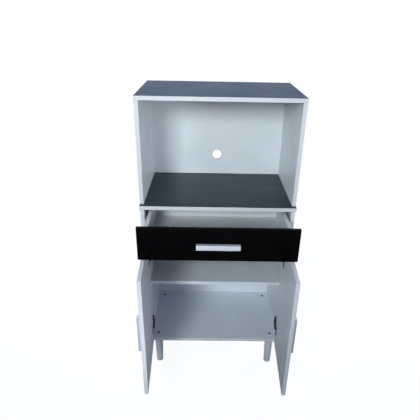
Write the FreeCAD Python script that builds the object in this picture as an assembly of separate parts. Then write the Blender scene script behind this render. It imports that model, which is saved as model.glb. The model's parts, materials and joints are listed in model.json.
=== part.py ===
"""Microwave stand with a drawer and two doors, 600 mm wide, on four turned legs.

Millimetres, +Z up, front towards -Y.  The drawer is drawn pulled out and both doors
swung open, which is the pose that the joints count from.  The origin lies on the floor,
in the middle of the room that the stand takes up in that pose.  Left-hand pieces are
drawn and right-hand ones mirrored.
"""
import FreeCAD, Part
import math
import os

V = FreeCAD.Vector
X, Y, Z = V(1, 0, 0), V(0, 1, 0), V(0, 0, 1)
ORIGIN = V(0, 0, 0)

# ---- carcass -------------------------------------------------------------------------
cabinet_width = 600.0
side_depth = 350.0          # front edge to back edge of a side panel
board = 15.0                # faced particle board, every panel but the backs
back_board = 3.0            # hardboard backs and drawer bottom
lower_side_height = 670.0
upper_side_height = 392.0
top_overhang_front = 5.0
top_overhang_back = 5.0
mid_overhang_front = 20.0   # covers the drawer front and the doors
edge_tape = 0.5             # white tape round the two black-topped panels
back_inset = 2.0            # backs stop this far inside the carcass outline
cable_hole_radius = 22.0
cable_hole_rise = 92.0      # hole centre above the microwave shelf
rail_depth = 60.0           # cross rail between drawer and doors
shelf_setback = 60.0        # shelf's front edge behind the side's front edge
shelf_rise = 270.0          # shelf's underside above the lower edge of the sides
shelf_clearance = 1.0

# ---- legs ----------------------------------------------------------------------------
leg_height = 150.0
leg_inset_x = 44.0          # leg's axis from the cabinet's side
leg_inset_y = 35.0          # leg's axis from the side panel's front or back edge
leg_top_radius = 19.0
leg_foot_radius = 15.0
leg_foot_bevel = 2.5
glide_radius = 9.0
glide_thickness = 2.0       # the glide stands this far below the leg
leg_bolt_radius = 3.0
leg_bolt_grip = 30.0        # length of bolt inside the leg
leg_bolt_head_radius = 5.5
leg_bolt_head = 3.0

# ---- drawer and doors ----------------------------------------------------------------
front_side_margin = 9.0     # closed fronts stop this far inside the cabinet's sides
front_gap = 3.5             # closed fronts to the carcass edge
reveal = 2.0                # between fronts, and to the panel above
drawer_front_height = 131.0
door_floor_reveal = 2.0     # door's lower edge above the lower edge of the sides
door_middle_gap = 2.0
front_edge_bevel = 0.8
door_rest_angle = 87.4
drawer_rest_pull = 145.5
drawer_length = 320.0       # box, from the back of the drawer front
drawer_side_height = 93.0
drawer_running_gap = 4.0    # box above the cross rail
slide_gap = 12.5            # drawer side to cabinet side
drawer_groove = 5.0
drawer_bottom_rise = 10.0   # underside of the drawer bottom above the sides' lower edge
groove_slack = 0.3

# ---- handles -------------------------------------------------------------------------
handle_length = 158.0
handle_width = 19.0
handle_reach = 15.0         # how far the grip stands off the front
handle_wall = 2.0
handle_lip = 5.0
handle_end = 5.0            # solid block at each end of the channel
handle_corner = 2.0
handle_groove = 0.7
handle_screw_spacing = 96.0
handle_boss_radius = 4.5
handle_screw_radius = 2.0
handle_screw_head_radius = 4.0
handle_screw_head = 2.2
handle_screw_bite = 9.0
drawer_handle_drop = 4.5    # handle's centre below the drawer front's centre
door_handle_inset = 43.0    # handle's centre line from the door's free edge
door_handle_rise = 269.0    # handle's centre above the door's lower edge

# ---- concealed hinges ----------------------------------------------------------------
hinge_low = 86.0            # lower hinge above the door's lower edge
hinge_high = 93.0           # upper hinge below the door's upper edge
pivot_inset = 8.5           # pivot from the door's hinge edge
pivot_depth = 9.0           # pivot below the door's inner face
cup_radius = 17.5
cup_depth = 12.5
cup_wall = 0.8
cup_edge = 3.0              # cup's rim to the door's hinge edge
cup_fit = 0.1
flange_radius = 19.0
flange_thickness = 1.2
flange_ear_width = 14.0
flange_ear_reach = 30.0
flange_ear_bevel = 4.0
cup_screw_spacing = 48.0
knuckle_radius = 1.9
pin_radius = 1.0
pin_running = 0.08
link_width = 10.0
link_metal = 1.6
arm_width = 14.0
arm_metal = 2.0
arm_skin = 1.2
arm_neck = 13.0             # inside of the neck to the pivot, clears the door's corner
arm_shoulder = 8.0          # end of the straight neck, behind the cabinet's edge
arm_belly = 8.0             # inside of the arm at the cabinet's edge, from the pivot
arm_heel = 14.0             # where the arm comes down on its plate, behind the edge
arm_reach = 74.0            # pivot to the arm's back end
arm_tail = 5.0              # top of the arm's back end above the pivot line
arm_lift = 0.2              # arm's walls above the plate
plate_thickness = 2.2
plate_setback = 37.0        # plate's screw line from the side's front edge
plate_length = 46.0
plate_wing_width = 14.0
plate_wing_span = 52.0
plate_wing_bevel = 4.0
plate_screw_spacing = 32.0
plate_rail_height = 3.2
plate_rail_length = 34.0
plate_rail_play = 0.4       # plate's rail to the inside of the arm's walls
fixing_screw_radius = 2.4
fixing_screw_head_radius = 3.6
fixing_screw_head = 1.6
fixing_screw_bite = 2.7     # fixing screw's length inside the plate's rail

# ---- ball-bearing slides -------------------------------------------------------------
slide_height = 45.0
slide_metal = 1.2
slide_length = 300.0
slide_setback = 2.0         # closed, every member's front end from the cabinet's edge
slide_outer_depth = 10.2
slide_lip = 3.0
race_gap = 3.3              # between the two faces that the balls run on
ball_radius = 1.35
balls_per_row = 2
cage_length = 130.0
cage_metal = 0.6
cage_depth = 6.0
cage_gap = 0.4              # cage's web to the member's web
outer_cage_start = 80.0     # closed, from the cabinet's edge
inner_cage_start = 85.0
middle_from_wall = 2.6
middle_depth = 8.2
middle_length = 292.0
inner_depth = 6.5
inner_length = 296.0
slide_screw_inset = 37.0
slide_screw_pitch = 224.0
middle_share = 0.5          # share of the drawer's way that each piece travels
outer_cage_share = 0.25
inner_cage_share = 0.75

# ---- fasteners, whose small rounds are drawn with flats to keep the model light -------
shank_flat_count = 4
head_flat_count = 8
wide_flat_count = 12        # caps, leg bolt heads and handle bosses
cup_flat_count = 18         # hinge cups and glides
leg_flat_count = 24
hole_fit = 0.1              # every hole round its screw, bolt, cam or dowel
hole_depth_spare = 0.5
screw_radius = 1.75
screw_length = 13.0
screw_head_radius = 3.2
screw_head = 1.2
cam_radius = 7.5
cam_depth = 12.0
cam_setback = 24.0          # cam centre from the joint
cam_inset_y = 70.0          # cams from the side panel's front and back edges
cam_cap_radius = 8.5
cam_cap_thickness = 0.8
cam_bolt_radius = 3.0
cam_bolt_bite = 10.0
dowel_radius = 4.0
dowel_bite = 11.0           # dowel's length in each of its two boards
rail_dowel_inset = 10.0
back_screw_radius = 1.5
back_screw_length = 16.0
back_screw_head_radius = 3.0
back_screw_head = 1.0
back_screw_margin = 40.0
niche_back_screws = 3       # along each side
lower_back_screws = 3
box_screw_radius = 2.0
box_screw_length = 40.0
box_screw_head_radius = 3.5
box_screw_head = 1.2
box_screw_inset = 20.0      # from the drawer side's lower and upper edges
shelf_pin_radius = 2.5
shelf_pin_bite = 8.0
shelf_pin_reach = 9.0
shelf_pin_width = 8.0
shelf_pin_tab = 2.0
shelf_pin_inset = 45.0
bumper_radius = 3.0
bumper_gap = 0.3
bumper_from_middle = 30.0

# ---- levels and planes worked out from the sizes -------------------------------------
half_width = cabinet_width / 2
inner_half = half_width - board
front_width = cabinet_width - 2 * front_side_margin
door_width = (front_width - door_middle_gap) / 2
door_swing = math.radians(door_rest_angle)
door_reach = (front_gap + pivot_depth + (door_width - pivot_inset) * math.sin(door_swing)
              + (board - pivot_depth) * math.cos(door_swing))
front = (door_reach - side_depth - top_overhang_back) / 2
back = front + side_depth
carcass_floor = leg_height
bottom_top = carcass_floor + board
mid_under = carcass_floor + lower_side_height
mid_top = mid_under + board
top_under = mid_top + upper_side_height
shelf_under = carcass_floor + shelf_rise
fronts_back = front - front_gap
fronts_face = fronts_back - board
drawer_front_top = mid_under - reveal
drawer_front_low = drawer_front_top - drawer_front_height
door_low = carcass_floor + door_floor_reveal
door_top = drawer_front_low - reveal
rail_low = door_top + (reveal - board) / 2
rail_top = rail_low + board
drawer_low = rail_top + drawer_running_gap
drawer_top = drawer_low + drawer_side_height
drawer_bottom_under = drawer_low + drawer_bottom_rise
drawer_half = inner_half - slide_gap
drawer_end = fronts_back + drawer_length
slide_level = (drawer_low + drawer_top) / 2
hinge_edge = -front_width / 2
pivot = V(hinge_edge + pivot_inset, fronts_back - pivot_depth, 0)
cup_centre_x = hinge_edge + cup_edge + cup_radius
hinge_levels = (door_low + hinge_low, door_top - hinge_high)
cam_rows = (front + cam_inset_y, back - cam_inset_y)
dowel_row = (front + back) / 2
side_middle = -half_width + board / 2
middle_height = slide_height - 2 * (slide_metal + race_gap)
inner_height = middle_height - 2 * (slide_metal + race_gap)


# ---- drawing helpers -----------------------------------------------------------------
def block(x0, x1, y0, y1, z0, z1):
    """Box between two corners."""
    return Part.makeBox(x1 - x0, y1 - y0, z1 - z0, V(x0, y0, z0))


def rod(radius, start, end):
    """Cylinder from one point to another."""
    way = end - start
    return Part.makeCylinder(radius, way.Length, start, way)


def ring(radius, height, flats):
    """Corners of a level, many-sided figure."""
    first = V(radius, 0, height)
    return [FreeCAD.Rotation(Z, 360 * step / flats).multVec(first) for step in range(flats)]


def plate(corners):
    """Flat face with these corners."""
    return Part.Face(Part.makePolygon(corners + corners[:1]))


def turned(levels, flats):
    """Body turned about Z, from its (radius, height) levels, with flats in place of its round."""
    rings = [ring(radius, height, flats) for radius, height in levels]
    faces = [plate(rings[0]), plate(rings[-1])]
    for low, high in zip(rings, rings[1:]):
        for here in range(flats):
            after = (here + 1) % flats
            faces.append(plate([low[here], low[after], high[after], high[here]]))
    return Part.Solid(Part.Shell(faces))


def flatted(radius, start, end, flats):
    """Rod with flats in place of its round."""
    body = plate(ring(radius, 0, flats)).extrude(Z * (end - start).Length)
    body.Placement = FreeCAD.Placement(start, FreeCAD.Rotation(Z, end - start))
    return body


def prism(outline, z0, z1):
    """Upright prism on a closed outline of (x, y) points."""
    points = [V(x, y, z0) for x, y in outline]
    face = Part.Face(Part.makePolygon(points + points[:1]))
    return face.extrude(V(0, 0, z1 - z0))


def fuse(shapes):
    """One solid from overlapping ones."""
    return shapes[0].multiFuse(shapes[1:]).removeSplitter()


def cut(shape, tools):
    """A shape with every tool cut out of it."""
    return shape.cut(Part.makeCompound(tools))


def soften(shape, radius, chosen):
    """Round the edges whose middle point passes a test."""
    return shape.makeFillet(radius, [e for e in shape.Edges if chosen(e.CenterOfMass)])


def bevel(shape, size, chosen):
    """Chamfer the edges whose middle point passes a test."""
    return shape.makeChamfer(size, [e for e in shape.Edges if chosen(e.CenterOfMass)])


def near(value, wanted):
    """Whether a coordinate lies on a plane."""
    return abs(value - wanted) < 0.01


def mirror(shape):
    """The same piece on the other side of the cabinet."""
    return shape.mirror(ORIGIN, X)


def both_sides(shapes):
    """Left-hand pieces and their mirror images."""
    return shapes + [mirror(s) for s in shapes]


def moved(shape, way):
    """A copy of a piece, shifted."""
    copy = shape.copy()
    copy.translate(way)
    return copy


def pulled(shape, share=1.0):
    """A drawer piece, moved by its share of the drawer's pull."""
    return moved(shape, -Y * drawer_rest_pull * share)


def swung(shape):
    """A left door piece turned open about its hinge pivot."""
    turned = shape.copy()
    turned.rotate(pivot, Z, -door_rest_angle)
    return turned


def spread(start, end, count):
    """Evenly spaced values, both ends included."""
    return [start + (end - start) * step / (count - 1) for step in range(count)]


# ---- screws, dowels and cam fittings -------------------------------------------------
def screw(point, way, radius, length, head_radius, head, flats=head_flat_count):
    """Headed screw: the head rests on the point's face, way is into the board."""
    return fuse([flatted(radius, point, point + way * length, shank_flat_count),
                 flatted(head_radius, point - way * head, point, flats)])


def flush_screw(point, way):
    """Small screw whose head lies within a sheet of its own thickness."""
    return screw(point + way * screw_head, way, screw_radius, screw_length, screw_head_radius, screw_head)


def screw_hole(point, way, radius, length):
    """Hole that a screw's shank stands in with a little room."""
    bottom = point + way * (length + hole_depth_spare)
    return flatted(radius + hole_fit, point - way, bottom, shank_flat_count)


def head_hole(point, way, depth):
    """Hole that a small screw's head drops into."""
    return flatted(screw_head_radius + hole_fit, point - way * depth, point + way * depth, head_flat_count)


def dowel(point, way):
    """Beech dowel, half in each board."""
    return flatted(dowel_radius, point - way * dowel_bite, point + way * dowel_bite, head_flat_count)


def dowel_hole(point, way):
    reach = dowel_bite + hole_depth_spare
    return flatted(dowel_radius + hole_fit, point - way * reach, point + way * reach, head_flat_count)


def cam_face(joint, way, mouth):
    """Point on the board's face over the middle of a cam."""
    return joint + way * cam_setback + mouth * board / 2


def cam(joint, way, mouth):
    """Cam disc let into the board that the bolt runs to."""
    face = cam_face(joint, way, mouth)
    return flatted(cam_radius, face - mouth * cam_depth, face, head_flat_count)


def cam_cap(joint, way, mouth):
    """Thin cap pressed over a cam."""
    face = cam_face(joint, way, mouth)
    return flatted(cam_cap_radius, face, face + mouth * cam_cap_thickness, wide_flat_count)


def cam_bolt(joint, way):
    """Bolt from one board's face, across the joint, to the rim of the cam."""
    reach = cam_setback - cam_radius - hole_fit
    return flatted(cam_bolt_radius, joint - way * cam_bolt_bite, joint + way * reach, shank_flat_count)


def double_bolt(y):
    """Bolt through the middle panel, from an upper cam to a lower one."""
    reach = cam_setback - cam_radius - hole_fit
    return flatted(cam_bolt_radius, V(side_middle, y, mid_under - reach),
                   V(side_middle, y, mid_top + reach), shank_flat_count)


def double_bolt_hole(y):
    return flatted(cam_bolt_radius + hole_fit, V(side_middle, y, mid_under - cam_setback),
                   V(side_middle, y, mid_top + cam_setback), shank_flat_count)


def cam_joint_cuts(joints):
    """Cam pockets and bolt holes of a list of joints."""
    cuts = []
    for joint, way, mouth in joints:
        face = cam_face(joint, way, mouth)
        floor = face - mouth * (cam_depth + hole_depth_spare)
        foot = joint - way * (cam_bolt_bite + hole_depth_spare)
        cuts.append(flatted(cam_radius + hole_fit, floor, face + mouth, head_flat_count))
        cuts.append(flatted(cam_bolt_radius + hole_fit, foot, joint + way * cam_setback, shank_flat_count))
    return cuts


# ---- where the left-hand joints of the carcass are: (joint point, bolt's way, cam's mouth)
def top_joints():
    return [(V(side_middle, y, top_under), -Z, X) for y in cam_rows]


def mid_joints():
    above = [(V(side_middle, y, mid_top), Z, X) for y in cam_rows]
    below = [(V(side_middle, y, mid_under), -Z, X) for y in cam_rows]
    return above, below


def bottom_joints():
    return [(V(-inner_half, y, carcass_floor + board / 2), X, -Z) for y in cam_rows]


def rail_joints():
    return [(V(-inner_half, front + rail_depth / 2, rail_low + board / 2), X, -Z)]


def top_dowels():
    return [(V(side_middle, dowel_row, top_under), Z)]


def bottom_dowels():
    return [(V(-inner_half, dowel_row, carcass_floor + board / 2), X)]


def rail_dowels():
    return [(V(-inner_half, front + rail_depth - rail_dowel_inset, rail_low + board / 2), X)]


# ---- carcass panels ------------------------------------------------------------------
def taped_core(y0, y1, z0):
    """Board that leaves room for tape on its front edge and both ends."""
    reach = half_width - edge_tape
    return block(-reach, reach, y0 + edge_tape, y1, z0, z0 + board)


def edge_band(y0, y1, z0):
    """Edge tape along the front and both ends of a board."""
    return block(-half_width, half_width, y0, y1, z0, z0 + board).cut(taped_core(y0, y1, z0))


def top_span():
    return front - top_overhang_front, back + top_overhang_back, top_under


def mid_span():
    return front - mid_overhang_front, back, mid_under


def top_panel():
    holes = cam_joint_cuts(top_joints()) + [dowel_hole(*d) for d in top_dowels()]
    return cut(taped_core(*top_span()), both_sides(holes))


def mid_panel():
    return cut(taped_core(*mid_span()), both_sides([double_bolt_hole(y) for y in cam_rows]))


def upper_side():
    body = block(-half_width, -inner_half, front, back, mid_top, top_under)
    holes = cam_joint_cuts(top_joints() + mid_joints()[0])
    holes += [dowel_hole(*d) for d in top_dowels()]
    holes += [back_screw_hole(p) for p in niche_back_screw_points()]
    return cut(body, holes)


def lower_side():
    body = block(-half_width, -inner_half, front, back, carcass_floor, mid_under)
    holes = cam_joint_cuts(mid_joints()[1] + bottom_joints() + rail_joints())
    holes += [dowel_hole(*d) for d in bottom_dowels() + rail_dowels()]
    fitting_points = plate_screw_points() + slide_screw_points()
    holes += [screw_hole(p, -X, screw_radius, screw_length) for p in fitting_points]
    holes += [screw_hole(p, -X, shelf_pin_radius, shelf_pin_bite) for p in shelf_pin_points()]
    holes += [back_screw_hole(p) for p in lower_back_screw_points()]
    return cut(body, holes)


def bottom_panel():
    body = block(-inner_half, inner_half, front, back, carcass_floor, bottom_top)
    holes = both_sides(cam_joint_cuts(bottom_joints()) + [dowel_hole(*d) for d in bottom_dowels()])
    holes += [screw_hole(V(x, y, bottom_top), -Z, leg_bolt_radius, board) for x, y in leg_places()]
    return cut(body, holes)


def drawer_rail():
    body = block(-inner_half, inner_half, front, front + rail_depth, rail_low, rail_top)
    return cut(body, both_sides(cam_joint_cuts(rail_joints()) + [dowel_hole(*d) for d in rail_dowels()]))


def inner_shelf():
    reach = inner_half - shelf_clearance
    y0, y1 = front + shelf_setback, back - shelf_clearance
    return block(-reach, reach, y0, y1, shelf_under, shelf_under + board)


def back_screw_column(low, high, count):
    """Screws down the left edge of a back, on the back's outer face."""
    levels = spread(low + back_screw_margin, high - back_screw_margin, count)
    return [V(side_middle, back + back_board, z) for z in levels]


def niche_back_screw_points():
    return back_screw_column(mid_top, top_under, niche_back_screws)


def lower_back_screw_points():
    return back_screw_column(carcass_floor, mid_under, lower_back_screws)


def back_screw(point):
    return screw(point, -Y, back_screw_radius, back_screw_length, back_screw_head_radius, back_screw_head)


def back_screw_hole(point):
    return screw_hole(point, -Y, back_screw_radius, back_screw_length)


def niche_back_panel():
    """Hardboard back of the niche, with the hole for the appliance's cable."""
    reach = half_width - back_inset
    body = block(-reach, reach, back, back + back_board, mid_top - board / 2, top_under)
    level = mid_top + cable_hole_rise
    hole = rod(cable_hole_radius, V(0, back - 1, level), V(0, back + back_board + 1, level))
    return cut(body, [hole] + both_sides([back_screw_hole(p) for p in niche_back_screw_points()]))


def lower_back_panel():
    reach = half_width - back_inset
    body = block(-reach, reach, back, back + back_board, carcass_floor + back_inset, mid_top - board / 2)
    return cut(body, both_sides([back_screw_hole(p) for p in lower_back_screw_points()]))


def shelf_pin_points():
    """Pin axes on the left side panel's inner face."""
    level = shelf_under - shelf_pin_tab - shelf_pin_radius
    ys = (front + shelf_setback + shelf_pin_inset, back - shelf_pin_inset)
    return [V(-inner_half, y, level) for y in ys]


def shelf_pin(point):
    """Stem in the side panel with a flat tab that the shelf lies on."""
    end = point + X * shelf_pin_reach
    stem = flatted(shelf_pin_radius, point - X * shelf_pin_bite, end, shank_flat_count)
    half = shelf_pin_width / 2
    tab = block(point.x, point.x + shelf_pin_reach, point.y - half, point.y + half, point.z, shelf_under)
    return fuse([stem, tab])


def bumper(level):
    """Soft stud on the carcass edge, just short of the closed door."""
    foot = V(-bumper_from_middle, front, level)
    return flatted(bumper_radius, foot, foot - Y * (front_gap - bumper_gap), head_flat_count)


def bumper_levels():
    return (door_low + bottom_top) / 2, (rail_low + door_top) / 2


# ---- legs ----------------------------------------------------------------------------
def leg_places():
    x = half_width - leg_inset_x
    return [(-x, front + leg_inset_y), (x, front + leg_inset_y),
            (-x, back - leg_inset_y), (x, back - leg_inset_y)]


def leg(x, y):
    """Turned leg, tapered to a bevelled foot and bored for its bolt."""
    foot = leg_foot_radius - leg_foot_bevel
    levels = [(foot, glide_thickness), (leg_foot_radius, glide_thickness + leg_foot_bevel),
              (leg_top_radius, leg_height)]
    body = turned(levels, leg_flat_count)
    body.translate(V(x, y, 0))
    return cut(body, [screw_hole(V(x, y, leg_height), -Z, leg_bolt_radius, leg_bolt_grip)])


def leg_glide(x, y):
    """Plastic disc under the foot."""
    return flatted(glide_radius, V(x, y, 0), V(x, y, glide_thickness), cup_flat_count)


def leg_bolt(x, y):
    """Bolt from inside the cabinet, through the bottom panel, into the leg."""
    return screw(V(x, y, bottom_top), -Z, leg_bolt_radius, board + leg_bolt_grip,
                 leg_bolt_head_radius, leg_bolt_head, wide_flat_count)


# ---- hinges, drawn on a closed door --------------------------------------------------
def pivot_to_edge():
    """Pivot to the plane of the side panels' front edges."""
    return front_gap + pivot_depth


def pivot_to_plate():
    """Pivot line to the face of the mounting plate."""
    return -inner_half + plate_thickness - pivot.x


def arm_top(reach):
    """Outer face of the arm's sloping back, at a distance behind the pivot."""
    start = pivot_to_edge() + arm_shoulder
    share = (reach - start) / (arm_reach - start)
    high = arm_neck + arm_metal
    return high + share * (arm_tail - high)


def around_pivot(outline):
    """Outline given from the pivot, moved to its place."""
    return [(pivot.x + x, pivot.y + y) for x, y in outline]


def link_outline():
    """Link seen from above, from the pivot to the foot of the neck."""
    half = link_metal / 2
    high = arm_neck + arm_metal
    return [(0, -half), (high, -half), (high, half), (0, half)]


def arm_outline():
    """Arm seen from above: neck out of the door, shoulder, and back sloping to the plate."""
    foot = -link_metal / 2
    high = arm_neck + arm_metal
    edge = pivot_to_edge() + 1
    wall = pivot_to_plate() + arm_lift
    return [(high, foot), (high, pivot_to_edge() + arm_shoulder), (arm_tail, arm_reach),
            (wall, arm_reach), (wall, pivot_to_edge() + arm_heel), (arm_belly, edge),
            (arm_neck, edge), (arm_neck, foot)]


def arm_hollow():
    """Room inside the arm's channel, open towards the plate."""
    start = pivot_to_edge() + arm_shoulder
    under = pivot_to_plate() - 1
    return [(under, start), (arm_top(start) - arm_skin, start),
            (arm_top(arm_reach + 1) - arm_skin, arm_reach + 1), (under, arm_reach + 1)]


def hinge_arm(level):
    """Cranked channel arm, with a narrower link and its knuckle round the pin."""
    low, high = level - arm_width / 2, level + arm_width / 2
    foot = V(pivot.x, pivot.y, level - link_width / 2)
    head = foot + Z * link_width
    body = fuse([prism(around_pivot(arm_outline()), low, high),
                 prism(around_pivot(link_outline()), foot.z, head.z),
                 flatted(knuckle_radius, foot, head, wide_flat_count)])
    line = V(pivot.x, front + plate_setback, level)
    return cut(body, [prism(around_pivot(arm_hollow()), low + arm_skin, high - arm_skin),
                      flatted(pin_radius + pin_running, foot - Z, head + Z, wide_flat_count),
                      screw_hole(line, X, fixing_screw_radius, arm_reach)])


def hinge_plate(level):
    """Cross-shaped plate on the side panel, with the rail that the arm straddles."""
    x0 = -inner_half
    x1 = x0 + plate_thickness
    line = front + plate_setback
    base = block(x0, x1, line - plate_length / 2, line + plate_length / 2,
                 level - arm_width / 2, level + arm_width / 2)
    wing = block(x0, x1, line - plate_wing_width / 2, line + plate_wing_width / 2,
                 level - plate_wing_span / 2, level + plate_wing_span / 2)
    wing = bevel(wing, plate_wing_bevel, lambda c: near(abs(c.y - line), plate_wing_width / 2)
                 and near(abs(c.z - level), plate_wing_span / 2))
    rail_half = arm_width / 2 - arm_skin - plate_rail_play
    rail = block(x1, x1 + plate_rail_height, line - plate_rail_length / 2, line + plate_rail_length / 2,
                 level - rail_half, level + rail_half)
    tools = [head_hole(p, -X, plate_thickness + 1) for p in plate_screws_at(level)]
    top = V(x1 + plate_rail_height, line, level)
    tools.append(screw_hole(top, -X, fixing_screw_radius, fixing_screw_bite))
    return cut(fuse([base, wing, rail]), tools)


def fixing_screw(level):
    """Screw that holds the arm down on the plate's rail."""
    top = V(-inner_half + plate_thickness + plate_rail_height, front + plate_setback, level)
    reach = pivot_to_edge() + plate_setback
    seat = V(pivot.x + arm_top(reach - fixing_screw_head_radius), top.y, level)
    return screw(seat, -X, fixing_screw_radius, seat.x - top.x + fixing_screw_bite,
                 fixing_screw_head_radius, fixing_screw_head)


def plate_screws_at(level):
    """Plate screws of one hinge, on the side panel's inner face."""
    return [V(-inner_half, front + plate_setback, level + turn * plate_screw_spacing / 2) for turn in (-1, 1)]


def plate_screw_points():
    return [p for level in hinge_levels for p in plate_screws_at(level)]


def hinge_cup(level):
    """Pressed cup let into the door, with its flange and two screw ears."""
    centre = V(cup_centre_x, fronts_back, level)
    shell = flatted(cup_radius, centre - Y * cup_depth, centre, cup_flat_count)
    rim = flatted(flange_radius, centre, centre + Y * flange_thickness, cup_flat_count)
    half = flange_ear_width / 2
    ears = block(centre.x - half, centre.x + half, centre.y, centre.y + flange_thickness,
                 level - flange_ear_reach, level + flange_ear_reach)
    ears = bevel(ears, flange_ear_bevel, lambda c: near(abs(c.z - level), flange_ear_reach)
                 and near(abs(c.x - centre.x), half))
    holes = [screw_hole(p, -Y, screw_radius, flange_thickness) for p in cup_screw_points(level)]
    return cut(fuse([shell, rim, ears]), [cup_hollow(level)] + holes)


def cup_hollow(level):
    """Room inside a cup."""
    centre = V(cup_centre_x, fronts_back, level)
    floor = centre - Y * (cup_depth - cup_wall)
    return flatted(cup_radius - cup_wall, floor, centre + Y * cup_depth, cup_flat_count)


def hinge_pin(level):
    """Pin across the cup, ending at its wall on both sides."""
    middle = V(pivot.x, pivot.y, level)
    return rod(pin_radius, middle - Z * cup_radius, middle + Z * cup_radius).common(cup_hollow(level))


def cup_screw_points(level):
    """Cup screws of one hinge, on the face of the flange."""
    return [V(cup_centre_x, fronts_back + flange_thickness, level + turn * cup_screw_spacing / 2)
            for turn in (-1, 1)]


def cup_screw(point):
    return screw(point, -Y, screw_radius, screw_length, screw_head_radius, screw_head)


def cup_bore(level):
    """Recess in the door for a hinge cup."""
    centre = V(cup_centre_x, fronts_back, level)
    return flatted(cup_radius + cup_fit, centre - Y * (cup_depth + cup_fit), centre + Y, cup_flat_count)


# ---- handles, drawn upright at the origin with their screw flange at x = 0 -----------
def handle_profile():
    """Section of the grip: across its width, and out from the front."""
    w, r, t = handle_width, handle_reach, handle_wall
    middle, groove = w / 2, handle_groove
    return [(0, 0), (0, -r), (middle - groove, -r), (middle, groove - r), (middle + groove, -r), (w, -r),
            (w, handle_lip - r), (w - t, handle_lip - r), (w - t, t - r), (t, t - r), (t, 0)]


def handle_screw_axes():
    """Points on the front's outer face where the handle's screws come out."""
    return [V(handle_width / 2, 0, turn * handle_screw_spacing / 2) for turn in (-1, 1)]


def handle():
    """Channel grip with closed ends and two screw bosses, standing towards -Y."""
    half = handle_length / 2
    grip = [prism(handle_profile(), -half, half)]
    for low in (-half, half - handle_end):
        grip.append(block(0, handle_width, -handle_reach, 0, low, low + handle_end))
    body = soften(fuse(grip), handle_corner, lambda c: near(c.y, -handle_reach) and near(c.z, 0)
                  and (near(c.x, 0) or near(c.x, handle_width)))
    bosses = [flatted(handle_boss_radius, p, p - Y * (handle_reach - handle_wall), wide_flat_count)
              for p in handle_screw_axes()]
    holes = [screw_hole(p, -Y, handle_screw_radius, handle_screw_bite) for p in handle_screw_axes()]
    return cut(fuse([body] + bosses), holes)


def handle_screws():
    """Screws from behind the front into the bosses."""
    return [screw(p + Y * board, -Y, handle_screw_radius, board + handle_screw_bite,
                  handle_screw_head_radius, handle_screw_head) for p in handle_screw_axes()]


def handle_holes():
    """Holes through the front for the handle's screws."""
    return [screw_hole(p + Y * board, -Y, handle_screw_radius, board) for p in handle_screw_axes()]


def on_drawer(shape):
    """A handle piece laid on the drawer front, flange on top."""
    lying = shape.copy()
    lying.rotate(ORIGIN, Y, 90)
    level = (drawer_front_low + drawer_front_top) / 2 - drawer_handle_drop
    return moved(lying, V(0, fronts_face, level + handle_width / 2))


def on_door(shape):
    """A handle piece on the left door, flange towards the free edge."""
    free_edge = hinge_edge + door_width
    place = V(free_edge - door_handle_inset + handle_width / 2, fronts_face, door_low + door_handle_rise)
    return moved(mirror(shape), place)


# ---- doors and drawer front ----------------------------------------------------------
def front_board(x0, x1, z0, z1):
    """Front panel with the edges of its outer face softened."""
    body = block(x0, x1, fronts_face, fronts_back, z0, z1)
    return bevel(body, front_edge_bevel, lambda c: near(c.y, fronts_face))


def door():
    body = front_board(hinge_edge, hinge_edge + door_width, door_low, door_top)
    holes = [cup_bore(level) for level in hinge_levels]
    holes += [screw_hole(p, -Y, screw_radius, screw_length) for level in hinge_levels
              for p in cup_screw_points(level)]
    return cut(body, holes + [on_door(hole) for hole in handle_holes()])


def bottom_groove(x0, x1, y0, y1):
    """Room for the drawer bottom, with a little slack."""
    return block(x0, x1, y0, y1, drawer_bottom_under - groove_slack / 2,
                 drawer_bottom_under + back_board + groove_slack / 2)


def drawer_front():
    body = front_board(-front_width / 2, front_width / 2, drawer_front_low, drawer_front_top)
    holes = both_sides(cam_joint_cuts(drawer_joints()))
    reach = drawer_half - board + drawer_groove
    holes.append(bottom_groove(-reach, reach, fronts_back - drawer_groove, fronts_back + 1))
    return cut(body, holes + [on_drawer(hole) for hole in handle_holes()])


# ---- drawer box ----------------------------------------------------------------------
def drawer_joints():
    """Cams that pull the left drawer side to the drawer front."""
    x = -drawer_half + board / 2
    low = drawer_bottom_under + back_board + cam_cap_radius
    return [(V(x, fronts_back, z), Y, X) for z in (low, drawer_top - cam_cap_radius)]


def drawer_side():
    inside = -drawer_half + board
    body = block(-drawer_half, inside, fronts_back, drawer_end, drawer_low, drawer_top)
    holes = [bottom_groove(inside - drawer_groove, inside + 1, fronts_back - 1, drawer_end + 1)]
    holes += cam_joint_cuts(drawer_joints())
    holes += [screw_hole(p, X, screw_radius, screw_length) for p in inner_screw_points()]
    holes += [screw_hole(p, X, box_screw_radius, box_screw_length) for p in box_screw_points()]
    return cut(body, holes)


def drawer_back():
    """Back of the drawer box, standing on the drawer bottom."""
    reach = drawer_half - board
    body = block(-reach, reach, drawer_end - board, drawer_end, drawer_bottom_under + back_board, drawer_top)
    return cut(body, both_sides([screw_hole(p, X, box_screw_radius, box_screw_length)
                                 for p in box_screw_points()]))


def drawer_bottom():
    reach = drawer_half - board + drawer_groove - groove_slack
    return block(-reach, reach, fronts_back - drawer_groove + groove_slack, drawer_end,
                 drawer_bottom_under, drawer_bottom_under + back_board)


def box_screw_points():
    """Screws through the left drawer side into the drawer back."""
    y = drawer_end - board / 2
    low = drawer_bottom_under + back_board + box_screw_inset
    return [V(-drawer_half, y, z) for z in (low, drawer_top - box_screw_inset)]


def box_screw(point):
    return screw(point, X, box_screw_radius, box_screw_length, box_screw_head_radius, box_screw_head)


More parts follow.
